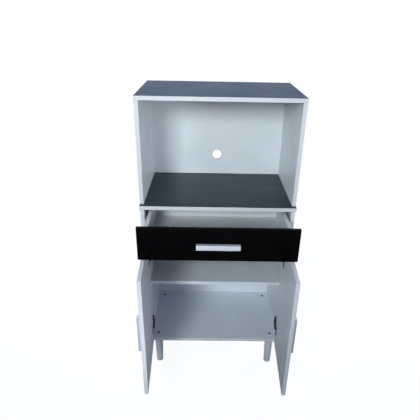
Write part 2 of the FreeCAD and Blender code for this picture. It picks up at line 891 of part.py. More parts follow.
# ---- slides, drawn closed ------------------------------------------------------------
def channel(wall, opens, depth, height, length):
    """Channel of sheet metal; opens is the side, +1 or -1, that it faces from its web."""
    y0 = front + slide_setback
    x0, x1 = sorted((wall, wall + opens * depth))
    body = block(x0, x1, y0, y0 + length, slide_level - height / 2, slide_level + height / 2)
    h0, h1 = sorted((wall + opens * slide_metal, wall + opens * (depth + 1)))
    inner = height / 2 - slide_metal
    return body.cut(block(h0, h1, y0 - 1, y0 + length + 1, slide_level - inner, slide_level + inner))


def slide_outer():
    """Cabinet member with turned-in lips, screwed to the side panel."""
    body = channel(-inner_half, 1, slide_outer_depth, slide_height, slide_length)
    x1 = -inner_half + slide_outer_depth
    y0 = front + slide_setback
    lip = block(x1 - slide_metal, x1, y0, y0 + slide_length, slide_level + slide_height / 2 - slide_lip,
                slide_level + slide_height / 2)
    lower_lip = moved(lip, -Z * (slide_height - slide_lip))
    holes = [head_hole(p, -X, slide_metal + 1) for p in slide_screw_points()]
    return cut(fuse([body, lip, lower_lip]), holes)


def slide_middle():
    """Middle member, between the two rows of balls."""
    return channel(-inner_half + middle_from_wall, 1, middle_depth, middle_height, middle_length)


def slide_inner():
    """Drawer member, screwed to the drawer side and open towards the cabinet."""
    body = channel(-drawer_half, -1, inner_depth, inner_height, inner_length)
    return cut(body, [head_hole(p, X, slide_metal + 1) for p in inner_screw_points()])


def ball(centre):
    """Small ball, drawn as a cube with all its edges cut back."""
    corner = centre - V(ball_radius, ball_radius, ball_radius)
    cube = Part.makeBox(2 * ball_radius, 2 * ball_radius, 2 * ball_radius, corner)
    return cube.makeChamfer(ball_radius * (2 - math.sqrt(2)), cube.Edges)


def ball_cage(web, race, start):
    """Retainer: a web, an upper and a lower strip, and a row of balls in each strip."""
    y0 = front + start
    y1 = y0 + cage_length
    parts = [block(web, web + cage_metal, y0, y1, slide_level - race, slide_level + race)]
    pitch = cage_length / balls_per_row
    for level in (slide_level - race, slide_level + race):
        parts.append(block(web, web + cage_depth, y0, y1, level - cage_metal / 2, level + cage_metal / 2))
        rows = [y0 + pitch * (place + 0.5) for place in range(balls_per_row)]
        parts += [ball(V(web + cage_depth / 2, y, level)) for y in rows]
    return fuse(parts)


def outer_ball_cage():
    """Balls between the cabinet member and the middle member."""
    return ball_cage(-inner_half + slide_metal + cage_gap, middle_height / 2 + race_gap / 2, outer_cage_start)


def inner_ball_cage():
    """Balls between the middle member and the drawer member."""
    web = -inner_half + middle_from_wall + slide_metal + cage_gap
    return ball_cage(web, inner_height / 2 + race_gap / 2, inner_cage_start)


def slide_screw_rows():
    return front + slide_screw_inset, front + slide_screw_inset + slide_screw_pitch


def slide_screw_points():
    """Cabinet member's screws, on the side panel's inner face."""
    return [V(-inner_half, y, slide_level) for y in slide_screw_rows()]


def inner_screw_points():
    """Drawer member's screws, on the drawer side's outer face."""
    return [V(-drawer_half, y, slide_level) for y in slide_screw_rows()]


# ---- every piece ---------------------------------------------------------------------
def with_mirror(names_and_shapes):
    """Left nodes with their right-hand mirror images."""
    pieces = {}
    for name, shapes in names_and_shapes.items():
        pieces[name + "_left"] = shapes
        pieces[name + "_right"] = [mirror(s) for s in shapes]
    return pieces


def panel_pieces():
    single = {
        "top_panel": [top_panel()],
        "top_edge_band": [edge_band(*top_span())],
        "niche_back_panel": [niche_back_panel()],
        "mid_panel": [mid_panel()],
        "mid_edge_band": [edge_band(*mid_span())],
        "lower_back_panel": [lower_back_panel()],
        "bottom_panel": [bottom_panel()],
        "drawer_rail": [drawer_rail()],
        "inner_shelf": [inner_shelf()],
    }
    return {**single, **with_mirror({"upper_side": [upper_side()], "lower_side": [lower_side()]})}


def carcass_fittings():
    above, below = mid_joints()
    side_joints = top_joints() + above + below
    under_joints = bottom_joints() + rail_joints()
    bolts = [cam_bolt(joint, way) for joint, way, _ in top_joints() + under_joints]
    bolts += [double_bolt(y) for y in cam_rows]
    dowels = [dowel(*d) for d in top_dowels() + bottom_dowels() + rail_dowels()]
    screws = [flush_screw(p + X * plate_thickness, -X) for p in plate_screw_points()]
    screws += [flush_screw(p + X * slide_metal, -X) for p in slide_screw_points()]
    backs = [back_screw(p) for p in niche_back_screw_points() + lower_back_screw_points()]
    return {
        "cam_locks": both_sides([cam(*j) for j in side_joints + under_joints]),
        "cam_caps": both_sides([cam_cap(*j) for j in top_joints() + above]),
        "cam_bolts": both_sides(bolts),
        "dowels": both_sides(dowels),
        "fitting_screws": both_sides(screws),
        "back_screws": both_sides(backs),
        "shelf_pins": both_sides([shelf_pin(p) for p in shelf_pin_points()]),
        "door_bumpers": both_sides([bumper(z) for z in bumper_levels()]),
    }


def leg_pieces():
    pieces = {"leg_" + name: [leg(x, y)] for name, (x, y)
              in zip(("front_left", "front_right", "rear_left", "rear_right"), leg_places())}
    pieces["leg_glides"] = [leg_glide(x, y) for x, y in leg_places()]
    pieces["leg_bolts"] = [leg_bolt(x, y) for x, y in leg_places()]
    return pieces


def fixed_fittings():
    """Hinge arms, plates and slide members that stay with the cabinet."""
    plates = [hinge_plate(level) for level in hinge_levels]
    return with_mirror({
        "hinge_arms": [hinge_arm(level) for level in hinge_levels],
        "hinge_plates": plates + [fixing_screw(level) for level in hinge_levels],
        "slide_outer": [slide_outer()],
    })


def travelling_pieces():
    """Slide members and cages that travel a share of the drawer's way."""
    return with_mirror({
        "slide_middle": [pulled(slide_middle(), middle_share)],
        "outer_ball_cage": [pulled(outer_ball_cage(), outer_cage_share)],
        "inner_ball_cage": [pulled(inner_ball_cage(), inner_cage_share)],
    })


def drawer_pieces():
    cams = [cam(*j) for j in drawer_joints()] + [cam_bolt(joint, way) for joint, way, _ in drawer_joints()]
    screws = [flush_screw(p - X * slide_metal, X) for p in inner_screw_points()]
    screws += [box_screw(p) for p in box_screw_points()]
    closed = {
        "drawer_front": [drawer_front()],
        "drawer_back": [drawer_back()],
        "drawer_bottom": [drawer_bottom()],
        "drawer_cams": both_sides(cams),
        "drawer_screws": both_sides(screws) + [on_drawer(s) for s in handle_screws()],
        "drawer_handle": [on_drawer(handle())],
    }
    closed.update(with_mirror({"drawer_side": [drawer_side()], "slide_inner": [slide_inner()]}))
    return {name: [pulled(s) for s in shapes] for name, shapes in closed.items()}


def door_pieces():
    screws = [cup_screw(p) for level in hinge_levels for p in cup_screw_points(level)]
    closed = {
        "door": [door()],
        "hinge_cups": [hinge_cup(level) for level in hinge_levels],
        "hinge_pins": [hinge_pin(level) for level in hinge_levels],
        "door_screws": screws + [on_door(s) for s in handle_screws()],
        "door_handle": [on_door(handle())],
    }
    return with_mirror({name: [swung(s) for s in shapes] for name, shapes in closed.items()})


def main():
    os.makedirs("parts", exist_ok=True)
    pieces = {}
    for group in (panel_pieces, carcass_fittings, leg_pieces, fixed_fittings,
                  travelling_pieces, drawer_pieces, door_pieces):
        pieces.update(group())
    for name, shapes in pieces.items():
        shape = shapes[0] if len(shapes) == 1 else Part.makeCompound(shapes)
        if not shape.isValid() or len(shape.Solids) != len(shapes):
            raise RuntimeError(name + " is not a set of sound solids")
        shape.exportStep("parts/" + name + ".step")


main()
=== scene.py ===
"""Looks of the microwave stand: materials, fine pieces, camera, floor and light."""
import json
import math

import bmesh
import bpy
import numpy as np
from mathutils import Matrix, Vector

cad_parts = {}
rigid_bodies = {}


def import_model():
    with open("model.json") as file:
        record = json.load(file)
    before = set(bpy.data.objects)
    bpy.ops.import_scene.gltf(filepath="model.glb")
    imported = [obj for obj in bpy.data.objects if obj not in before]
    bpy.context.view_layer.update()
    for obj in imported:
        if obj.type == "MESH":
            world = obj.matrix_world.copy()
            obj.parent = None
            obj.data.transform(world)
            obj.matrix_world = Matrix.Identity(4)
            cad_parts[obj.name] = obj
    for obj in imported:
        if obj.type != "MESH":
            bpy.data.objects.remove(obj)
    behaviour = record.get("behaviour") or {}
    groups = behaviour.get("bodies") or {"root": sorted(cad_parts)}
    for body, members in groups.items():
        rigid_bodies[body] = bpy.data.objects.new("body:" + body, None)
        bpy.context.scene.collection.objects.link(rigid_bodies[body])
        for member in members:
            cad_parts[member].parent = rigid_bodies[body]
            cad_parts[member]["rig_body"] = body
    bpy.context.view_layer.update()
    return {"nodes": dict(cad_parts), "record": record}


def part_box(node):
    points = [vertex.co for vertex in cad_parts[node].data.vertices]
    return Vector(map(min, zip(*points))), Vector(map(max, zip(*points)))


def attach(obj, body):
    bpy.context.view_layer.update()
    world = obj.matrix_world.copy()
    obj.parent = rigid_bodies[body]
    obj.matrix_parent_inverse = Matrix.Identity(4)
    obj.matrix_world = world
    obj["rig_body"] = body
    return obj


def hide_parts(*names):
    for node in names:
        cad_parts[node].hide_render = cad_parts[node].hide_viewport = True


for left_over in list(bpy.data.objects):
    bpy.data.objects.remove(left_over)

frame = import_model()
nodes = frame["nodes"]
scene = bpy.context.scene

SIDES = ("left", "right")
LEGS = [f"leg_{end}_{side}" for end in ("front", "rear") for side in SIDES]

# Axes, and the two sides of a plane across one.
X, Y, Z = range(3)
OVER, UNDER = 1, -1

# A plane that tells one face of a board from the rest lies this far inside it, in metres.
HAIR = 0.0001

# Screen colours, 0 to 255.
WHITE = (224, 230, 237)
TAPE = (203, 209, 216)


# ---- shader helpers ------------------------------------------------------------------
def node(tree, kind, inputs=None, **settings):
    """A shader node with its settings, and its inputs linked or set."""
    made = tree.nodes.new("ShaderNode" + kind)
    for key, value in settings.items():
        setattr(made, key, value)
    for key, value in (inputs or {}).items():
        if isinstance(value, bpy.types.NodeSocket):
            tree.links.new(value, made.inputs[key])
        else:
            made.inputs[key].default_value = value
    return made


def new_material(name):
    """A new node material: itself, its tree, its shader and its object coordinates."""
    material = bpy.data.materials.new(name)
    material.use_nodes = True
    tree = material.node_tree
    shader = tree.nodes["Principled BSDF"]
    place = node(tree, "TexCoord").outputs["Object"]
    return material, tree, shader, place


def noise(tree, place, scale, detail=3.0, stretch=(1, 1, 1)):
    """Noise with so many cells a metre, drawn out along each axis that has a small stretch."""
    spread = node(tree, "Mapping", {"Vector": place, "Scale": stretch}).outputs[0]
    inputs = {"Vector": spread, "Scale": scale, "Detail": detail, "Roughness": 0.55}
    return node(tree, "TexNoise", inputs).outputs[0]


def ranged(tree, value, low, high, start=0.3, end=0.7):
    """A noise value from start to end, brought between low and high."""
    inputs = {"Value": value, "From Min": start, "From Max": end, "To Min": low, "To Max": high}
    return node(tree, "MapRange", inputs).outputs[0]


def math_node(tree, operation, first, second):
    """One sum, product or comparison of two values."""
    return node(tree, "Math", {0: first, 1: second}, operation=operation).outputs[0]


def mixed(tree, share, first, second):
    """Mix of two colours."""
    return node(tree, "Mix", {0: share, 6: first, 7: second}, data_type="RGBA").outputs[2]


def mixed_value(tree, share, first, second):
    """Mix of two numbers."""
    return node(tree, "Mix", {0: share, 2: first, 3: second}, data_type="FLOAT").outputs[0]


def ramp(tree, value, stops):
    """Colours along a value, from (position, screen colour) stops."""
    made = node(tree, "ValToRGB", {"Fac": value})
    elements = made.color_ramp.elements
    while len(elements) < len(stops):
        elements.new(0.5)
    for element, (position, colour) in zip(elements, stops):
        element.position = position
        element.color = linear(*colour)
    return made.outputs[0]


def bump(tree, height, depth, below=None):
    """Relief of a height from 0 to 1, as deep as depth in metres, over the relief below."""
    inputs = {"Height": height, "Distance": depth, "Strength": 1.0}
    if below is not None:
        inputs["Normal"] = below
    return node(tree, "Bump", inputs).outputs[0]


def linear(red, green, blue):
    """Shader colour of a screen colour, by the sRGB curve."""
    values = []
    for value in (red, green, blue):
        value = value / 255
        values.append(value / 12.92 if value <= 0.04045 else ((value + 0.055) / 1.055) ** 2.4)
    return (*values, 1.0)


def shifted(colour, step):
    """A screen colour made lighter, or darker where the step is negative."""
    return [value + step for value in colour]


def two_tones(tree, value, deep, pale):
    """Paint that drifts between two screen colours with a noise value."""
    return mixed(tree, ranged(tree, value, 0.0, 1.0), linear(*deep), linear(*pale))


def same_all_over(shader, values):
    """Sets the shader's own sockets for what doesn't vary over the surface."""
    for socket, value in values.items():
        shader.inputs[socket].default_value = value


def wire(tree, shader, base_color, roughness, normal):
    """Links what varies over the surface to the shader."""
    tree.links.new(base_color, shader.inputs["Base Color"])
    tree.links.new(roughness, shader.inputs["Roughness"])
    tree.links.new(normal, shader.inputs["Normal"])


# ---- what a board's bare faces look like ---------------------------------------------
CORE_ROUGHNESS = 0.85
CORE_DEPTH = 0.0003


def chip_core(tree, place):
    """Pressed wood chips: their colour and relief."""
    cells = node(tree, "TexVoronoi", {"Vector": place, "Scale": 420.0, "Randomness": 1.0})
    tone = node(tree, "SeparateColor", {"Color": cells.outputs["Color"]}).outputs[0]
    colour = ramp(tree, tone, [(0.0, (122, 92, 62)), (0.45, (176, 142, 102)),
                               (0.8, (203, 172, 130)), (1.0, (226, 203, 166))])
    return colour, cells.outputs["Distance"]


def fibre_board(tree, place):
    """Brown hardboard: its colour and relief."""
    fibres = noise(tree, place, scale=260.0, detail=5.0)
    colour = ramp(tree, fibres, [(0.25, (106, 72, 45)), (0.5, (134, 95, 62)), (0.75, (158, 119, 82))])
    return colour, fibres


def beyond(tree, place, planes):
    """1 where a point lies beyond one of the planes: (axis, side, level in metres)."""
    parts = node(tree, "SeparateXYZ", {"Vector": place}).outputs
    found = None
    for axis, side, level in planes:
        operation = "GREATER_THAN" if side == OVER else "LESS_THAN"
        test = math_node(tree, operation, parts[axis], level)
        found = test if found is None else math_node(tree, "MAXIMUM", found, test)
    return found


def bared(tree, place, planes, core, paint, roughness, relief):
    """Paint, roughness and relief of a covered board with its core bare beyond the planes."""
    mask = beyond(tree, place, planes)
    core_colour, core_height = core(tree, place)
    pits = math_node(tree, "MULTIPLY", core_height, mask)
    return (mixed(tree, mask, paint, core_colour),
            mixed_value(tree, mask, roughness, CORE_ROUGHNESS),
            bump(tree, pits, CORE_DEPTH, relief))


# ---- materials -----------------------------------------------------------------------
TAPE_ROUGHNESS = 0.46
MELAMINE_DEPTH = 0.00003


def laminate(name, raw=(), taped=(), colour=WHITE, core=chip_core):
    """White melamine with a fine pearl texture, greyer on its tape, and bare core where raw."""
    material, tree, shader, place = new_material(name)
    drift = noise(tree, place, scale=5.0, detail=4.0)
    speck = noise(tree, place, scale=900.0, detail=2.0)
    paint = two_tones(tree, drift, shifted(colour, -7), shifted(colour, 5))
    paint = mixed(tree, ranged(tree, speck, 0.0, 0.22), paint, linear(*shifted(colour, -26)))
    roughness = ranged(tree, noise(tree, place, scale=22.0), 0.34, 0.4)
    relief = bump(tree, noise(tree, place, scale=1500.0, detail=2.0), MELAMINE_DEPTH)
    if taped:
        mask = beyond(tree, place, taped)
        paint = mixed(tree, mask, paint, linear(*TAPE))
        roughness = mixed_value(tree, mask, roughness, TAPE_ROUGHNESS)
    if raw:
        paint, roughness, relief = bared(tree, place, raw, core, paint, roughness, relief)
    wire(tree, shader, paint, roughness, relief)
    return material


def black_board(name, raw, specular, sheen):
    """Black melamine, satin and faintly streaked along its length, with its core bare where raw."""
    material, tree, shader, place = new_material(name)
    streaks = noise(tree, place, scale=160.0, detail=4.0, stretch=(0.03, 1, 1))
    cloud = noise(tree, place, scale=7.0)
    paint = two_tones(tree, streaks, (10, 13, 17), (28, 34, 40))
    roughness = math_node(tree, "ADD", ranged(tree, streaks, 0.34, 0.48),
                          ranged(tree, cloud, 0.0, 0.06))
    grain = noise(tree, place, scale=1100.0, detail=2.0, stretch=(0.25, 1, 1))
    relief = bump(tree, grain, MELAMINE_DEPTH)
    # The blue specular and sheen tints are painted reflection: they stand in for a bluish room
    # mirrored in the satin face.
    same_all_over(shader, {"Specular IOR Level": specular, "Specular Tint": (0.62, 0.84, 1.0, 1),
                           "Sheen Weight": sheen, "Sheen Roughness": 0.35,
                           "Sheen Tint": (0.3, 0.52, 1.0, 1)})
    paint, roughness, relief = bared(tree, place, raw, chip_core, paint, roughness, relief)
    wire(tree, shader, paint, roughness, relief)
    return material


def gloss_black(name):
    """Black lacquer with a slight peel."""
    material, tree, shader, place = new_material(name)
    cloud = noise(tree, place, scale=9.0)
    paint = two_tones(tree, cloud, (1, 1, 2), (4, 4, 5))
    roughness = ranged(tree, noise(tree, place, scale=40.0), 0.16, 0.26)
    relief = bump(tree, noise(tree, place, scale=180.0, detail=2.0), 0.00002)
    same_all_over(shader, {"Specular IOR Level": 0.03})
    wire(tree, shader, paint, roughness, relief)
    return material


def painted_wood(name):
    """White satin paint over turned wood, whose grain shows faintly."""
    material, tree, shader, place = new_material(name)
    grain = noise(tree, place, scale=420.0, detail=4.0, stretch=(1, 1, 0.04))
    cloud = noise(tree, place, scale=14.0)
    paint = two_tones(tree, cloud, (208, 215, 224), (222, 229, 237))
    shows = ranged(tree, grain, 0.0, 0.3, start=0.45, end=0.75)
    paint = mixed(tree, shows, paint, linear(178, 184, 194))
    wire(tree, shader, paint, ranged(tree, grain, 0.36, 0.5), bump(tree, grain, 0.00008))
    return material


def brushed(name, colour, stretch):
    """Brushed aluminium, with its lines along the small number of stretch."""
    material, tree, shader, place = new_material(name)
    lines = noise(tree, place, scale=1400.0, stretch=stretch)
    cloud = noise(tree, place, scale=30.0)
    paint = two_tones(tree, lines, shifted(colour, -18), colour)
    roughness = math_node(tree, "ADD", ranged(tree, lines, 0.36, 0.5), ranged(tree, cloud, 0.0, 0.06))
    same_all_over(shader, {"Metallic": 0.4})
    wire(tree, shader, paint, roughness, bump(tree, lines, 0.00004))
    return material


def plated(name, colour, contrast, roughness):
    """Plated sheet, bar or ball, mottled in tone and roughness by its plating."""
    material, tree, shader, place = new_material(name)
    spangle = noise(tree, place, scale=240.0, detail=4.0)
    fine = noise(tree, place, scale=1800.0, detail=2.0)
    paint = two_tones(tree, spangle, shifted(colour, -contrast), colour)
    same_all_over(shader, {"Metallic": 1.0})
    wire(tree, shader, paint, ranged(tree, spangle, *roughness), bump(tree, fine, 0.00002))
    return material


def moulded(name, colour, roughness):
    """Moulded plastic or rubber with a fine spark-eroded texture."""
    material, tree, shader, place = new_material(name)
    fine = noise(tree, place, scale=900.0)
    cloud = noise(tree, place, scale=60.0, detail=2.0)
    paint = two_tones(tree, cloud, shifted(colour, -8), colour)
    wire(tree, shader, paint, ranged(tree, fine, *roughness), bump(tree, fine, 0.00004))
    return material


def beech_wood(name):
    """Unpainted beech with its grain along the dowels."""
    material, tree, shader, place = new_material(name)
    grain = noise(tree, place, scale=500.0, detail=4.0, stretch=(0.2, 1, 0.2))
    paint = ramp(tree, grain, [(0.3, (176, 131, 85)), (0.6, (208, 167, 117)), (0.8, (222, 186, 140))])
    wire(tree, shader, paint, ranged(tree, grain, 0.55, 0.75), bump(tree, grain, 0.0001))
    return material


def wear(names, material):
    """Gives CAD nodes their material."""
    for name in names:
        nodes[name].material_slots[0].material = material


def top_of(name, axis):
    """A node's highest level on an axis."""
    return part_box(name)[1][axis]


def foot_of(name, axis):
    """A node's lowest level on an axis."""
    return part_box(name)[0][axis]


for side in SIDES:
    for level in ("upper", "lower"):
        name = f"{level}_side_{side}"
        raw = [(Y, OVER, top_of(name, Y) - HAIR), (Z, UNDER, foot_of(name, Z) + HAIR)]
        taped = [(Y, UNDER, foot_of(name, Y) + HAIR)]
        wear([name], laminate(name + "_laminate", raw, taped))
for name in ("bottom_panel", "drawer_rail", "inner_shelf"):
    raw = [(Y, OVER, top_of(name, Y) - HAIR), (X, OVER, top_of(name, X) - HAIR),
           (X, UNDER, foot_of(name, X) + HAIR)]
    wear([name], laminate(name + "_laminate", raw))
for side in SIDES:
    wear([f"door_{side}"], laminate(f"door_{side}_laminate"))
    name = f"drawer_side_{side}"
    raw = [(Z, UNDER, foot_of(name, Z) + HAIR), (Y, OVER, top_of(name, Y) - HAIR)]
    wear([name], laminate(name + "_laminate", raw))
name = "drawer_back"
wear([name], laminate(name + "_laminate", [(Z, UNDER, foot_of(name, Z) + HAIR)]))
for name in ("niche_back_panel", "lower_back_panel"):
    all_but_front = [(Y, OVER, foot_of(name, Y) + 2 * HAIR)]
    wear([name], laminate(name + "_face", all_but_front, core=fibre_board))
name = "drawer_bottom"
all_but_top = [(Z, UNDER, top_of(name, Z) - 2 * HAIR)]
wear([name], laminate(name + "_face", all_but_top, core=fibre_board))
for name, specular, sheen in (("top_panel", 0.06, 0.19), ("mid_panel", 0.5, 0.1)):
    rear = [(Y, OVER, top_of(name, Y) - HAIR)]
    wear([name], black_board(name + "_face", rear, specular, sheen))
wear(["top_edge_band", "mid_edge_band"], laminate("white_tape", colour=TAPE))
wear(["drawer_front"], gloss_black("black_lacquer"))

leg_paint = painted_wood("leg_paint")
zinc = plated("zinc_plate", (204, 207, 211), contrast=20, roughness=(0.28, 0.4))
# Darker than the bright nickel on the rest of the same hinges: on the hinge arms this dark tone is
# painted shade and painted dark reflection. The leg bolts wear the same dark tone.
nickel_with_painted_shade = plated("dark_nickel_with_painted_shade", (74, 75, 80), contrast=26, roughness=(0.28, 0.44))
bright_nickel = plated("bright_nickel", (168, 171, 177), contrast=34, roughness=(0.26, 0.4))
steel_ball = plated("steel_ball", (214, 216, 220), contrast=14, roughness=(0.12, 0.2))
white_plastic = moulded("white_plastic", (228, 232, 238), roughness=(0.34, 0.48))
ring_plastic = moulded("ring_plastic", (216, 214, 219), roughness=(0.42, 0.55))
black_plastic = moulded("black_plastic", (34, 34, 36), roughness=(0.45, 0.6))
soft_rubber = moulded("soft_rubber", (206, 208, 212), roughness=(0.5, 0.62))
wear(["drawer_handle"], brushed("aluminium_along_x", (214, 221, 235), (0.02, 1, 1)))
wear(["door_handle_left", "door_handle_right"],
     brushed("aluminium_along_z", (226, 230, 246), (1, 1, 0.02)))
wear(["dowels"], beech_wood("beech"))
wear(["shelf_pins"], white_plastic)
wear(["cam_bolts"], zinc)
for side in SIDES:
    for part in ("slide_outer", "slide_middle", "slide_inner", "outer_ball_cage", "inner_ball_cage"):
        wear([f"{part}_{side}"], zinc)
    # The hinge arms wear the dark nickel: painted shade and painted dark reflection on them.
    wear([f"hinge_arms_{side}"], nickel_with_painted_shade)
    for part in ("hinge_plates", "hinge_cups", "hinge_pins"):
        wear([f"{part}_{side}"], bright_nickel)


# ---- fine pieces in place of the CAD's flat-sided ones -------------------------------
# How many flat sides stand for each kind of round.
PIN_SIDES = 16
ARM_SCREW_SIDES = 20
SCREW_SIDES = 24
LOCK_SIDES = 32
DISC_SIDES = 48
LEG_SIDES = 64
RING_SIDES = 72

# Degrees over which a bend shows as an edge.
CREASE = 35
RING_CREASE = 40
CAP_CREASE = 50
BUMPER_CREASE = 60
NO_CREASE = 180

# Shares of a solid's own radius, and of its height from the foot up. Corners further out than
# HEAD_SHARE are on a screw's head.
HEAD_SHARE = 0.98
PAN_HEAD = ((0.97, 0.0), (1.0, 0.18), (0.98, 0.45), (0.9, 0.75), (0.76, 1.0))
CAP_DOME = ((1.0, 0.0), (1.0, 0.4), (0.985, 0.7), (0.94, 0.92), (0.86, 1.0))
BUMPER_DOME = ((1.0, 0.0), (1.0, 0.45), (0.96, 0.65), (0.84, 0.82), (0.62, 0.94), (0.3, 1.0))
TIP_RADIUS = 0.3
TIP_LENGTH = 1.6
RECESS_TAPER = 0.8
RECESS_DEPTH = 0.7
SOCKET_RADIUS = 0.46
SCREW_CROSS = (0.56, 0.2)
LOCK_CROSS = (0.62, 0.2)
PLATE_CROSS = (0.58, 0.2)
LOCK_RIM = 0.96

# Shares of a radius, with heights in metres.
GLIDE_ROUND = ((0.9, 0.0), (0.97, 0.0003), (1.0, 0.0008))
PLATE_SCREW = ((0.96, 0.0), (1.0, 0.0003), (0.92, 0.0008), (0.72, 0.001))
PLATE_RECESS = 0.0007

# Metres.
SAME_POINT = 0.000001
SAME_SIZE = 0.001
PIN_RADIUS = 0.005
LOCK_CHAMFER = 0.0003
LOCK_RECESS = 0.0025
LEG_FOOT_RADIUS = 0.015
LEG_FOOT_ROUND = ((0.0025, 0.0), (0.0013, 0.0004), (0.0004, 0.0013), (0.0, 0.0028))
LEG_TOP_CHAMFER = (0.0005, 0.0006)
PLATE_SCREW_LENGTH = 0.01
ARM_SCREW = ((0.0026, -0.0002), (0.0027, 0.0003), (0.0025, 0.0008), (0.002, 0.001))
ARM_CROSS = (0.0016, 0.0006)
ARM_RECESS = 0.0006
RING_PROFILE = ((-0.0008, -0.0024), (-0.0008, 0.0006), (-0.0003, 0.0011), (0.0045, 0.0011),
                (0.0053, 0.0007), (0.0055, 0.0001), (0.0, 0.0001), (0.0, -0.0024))
BALL_RADIUS = 0.0014
BALL_ROW_INSET = 0.00135
BALLS_PER_ROW = 14

# How far along its slope an arm's screw stands, from the tail to the bend.
ARM_SCREW_PLACE = 0.8


def islands(name):
    """The separate solids of a CAD node, each as an array of its corner points."""
    shape = bmesh.new()
    shape.from_mesh(nodes[name].data)
    bmesh.ops.remove_doubles(shape, verts=shape.verts, dist=SAME_POINT)
    seen = set()
    found = []
    for start in shape.verts:
        if start in seen:
            continue
        seen.add(start)
        group = [start]
        for vert in group:
            for edge in vert.link_edges:
                other = edge.other_vert(vert)
                if other not in seen:
                    seen.add(other)
                    group.append(other)
        found.append(np.array([vert.co for vert in group]))
    shape.free()
    return found


def upright(way):
    """The turn that stands the Z axis along a way."""
    return Vector(way).to_track_quat("Z", "Y").to_matrix().to_4x4()


def stance(points, facing=None):
    """How a turned solid stands: its frame, and its corners' heights and radii about its axis.

    The axis is the one way in which the corners' spread differs most from the other two. It
    points along facing, or towards the widest end where there is no facing.
    """
    middle = points.mean(axis=0)
    values, ways = np.linalg.eigh(np.cov((points - middle).T))
    way = ways[:, 2 if values[2] - values[1] > values[1] - values[0] else 0]
    along = (points - middle) @ way
    radii = np.linalg.norm(points - middle - np.outer(along, way), axis=1)
    if facing is not None:
        backwards = way @ np.array(facing) < 0
    else:
        head = along[radii > radii.max() * HEAD_SHARE].mean()
        backwards = head < (along.min() + along.max()) / 2
    if backwards:
        way = -way
        along = -along
    return Matrix.Translation(Vector(middle)) @ upright(way), along, radii


def inward(points):
    """-1 or 1: the way along X from a solid to the middle of the stand."""
    return -math.copysign(1.0, points[:, X].mean())


def around(count):
    """Each place on a ring of so many, with the next one."""
    return [(here, (here + 1) % count) for here in range(count)]


def corner_rings(shape, place, profile, sides):
    """Adds a ring of corners for each (radius, height) of a profile."""
    rings = []
    for radius, height in profile:
        angles = [2 * math.pi * step / sides for step in range(sides)]
        corners = [(radius * math.cos(angle), radius * math.sin(angle), height) for angle in angles]
        rings.append([shape.verts.new(place @ Vector(corner)) for corner in corners])
    return rings


def skin(shape, rings):
    """Adds the faces between each ring of corners and the next."""
    for low, high in zip(rings, rings[1:]):
        for here, after in around(len(low)):
            shape.faces.new((low[here], low[after], high[after], high[here]))


def loop_edges(shape, verts):
    """The edges of a closed line of corners, made where they are missing."""
    pairs = zip(verts, verts[1:] + verts[:1])
    return [shape.edges.get(pair) or shape.edges.new(pair) for pair in pairs]


def turned_body(shape, place, profile, sides, recess=None, depth=0.0):
    """Adds a turned solid from its (radius, height) profile, with a recess in its flat top."""
    rings = corner_rings(shape, place, profile, sides)
    skin(shape, rings)
    shape.faces.new(rings[0][::-1])
    if recess is None:
        shape.faces.new(rings[-1])
        return
    top = profile[-1][1]
    taper = RECESS_TAPER
    mouth = [shape.verts.new(place @ Vector((x, y, top))) for x, y in recess]
    bed = [shape.verts.new(place @ Vector((x * taper, y * taper, top - depth))) for x, y in recess]
    rims = loop_edges(shape, rings[-1]) + loop_edges(shape, mouth)
    bmesh.ops.triangle_fill(shape, use_beauty=True, edges=rims)
    skin(shape, [mouth, bed])
    shape.faces.new(bed)


def cross(shares, size=1.0):
    """Outline of a cross recess, from its (reach, width) as shares of a size."""
    reach, width = [size * share for share in shares]
    corner = width / 2
    return [(reach, -corner), (reach, corner), (corner, corner), (corner, reach), (-corner, reach),
            (-corner, corner), (-reach, corner), (-reach, -corner), (-corner, -corner),
            (-corner, -reach), (corner, -reach), (corner, -corner)]


def hexagon(radius):
    """Outline of a hex socket."""
    return [(radius * math.cos(math.pi * step / 3), radius * math.sin(math.pi * step / 3))
            for step in range(6)]


def scaled(shares, wide, low, tall):
    """A profile in metres from one in shares of a radius and a height."""
    return [(wide * across, low + tall * up) for across, up in shares]


def finished(name, shape, material, body, angle=CREASE):
    """Makes a piece of a finished shape, smooth except where it bends by more than the angle."""
    bmesh.ops.recalc_face_normals(shape, faces=shape.faces)
    mesh = bpy.data.meshes.new(name)
    shape.to_mesh(mesh)
    shape.free()
    mesh.shade_smooth()
    mesh.set_sharp_from_angle(angle=math.radians(angle))
    mesh.materials.append(material)
    piece = bpy.data.objects.new(name, mesh)
    scene.collection.objects.link(piece)
    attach(piece, body)
    return piece


def dressed(name, shape, material, angle=CREASE):
    """Puts a finished shape in the place of a CAD node."""
    piece = finished(name + "_piece", shape, material, nodes[name]["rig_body"], angle)
    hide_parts(name)


def screw_body(shape, points, socket):
    """A pan-head screw, or a bolt with a hex socket, of the size of a plain one."""
    place, along, radii = stance(points)
    wide = radii.max()
    on_head = radii > wide * HEAD_SHARE
    shank = radii[radii < wide * HEAD_SHARE].max()
    tip = along.min()
    seat = along[on_head].min()
    tall = along[on_head].max() - seat
    profile = [(shank * TIP_RADIUS, tip), (shank, tip + shank * TIP_LENGTH), (shank, seat)]
    profile += scaled(PAN_HEAD, wide, seat, tall)
    recess = hexagon(wide * SOCKET_RADIUS) if socket else cross(SCREW_CROSS, wide)
    turned_body(shape, place, profile, SCREW_SIDES, recess, tall * RECESS_DEPTH)


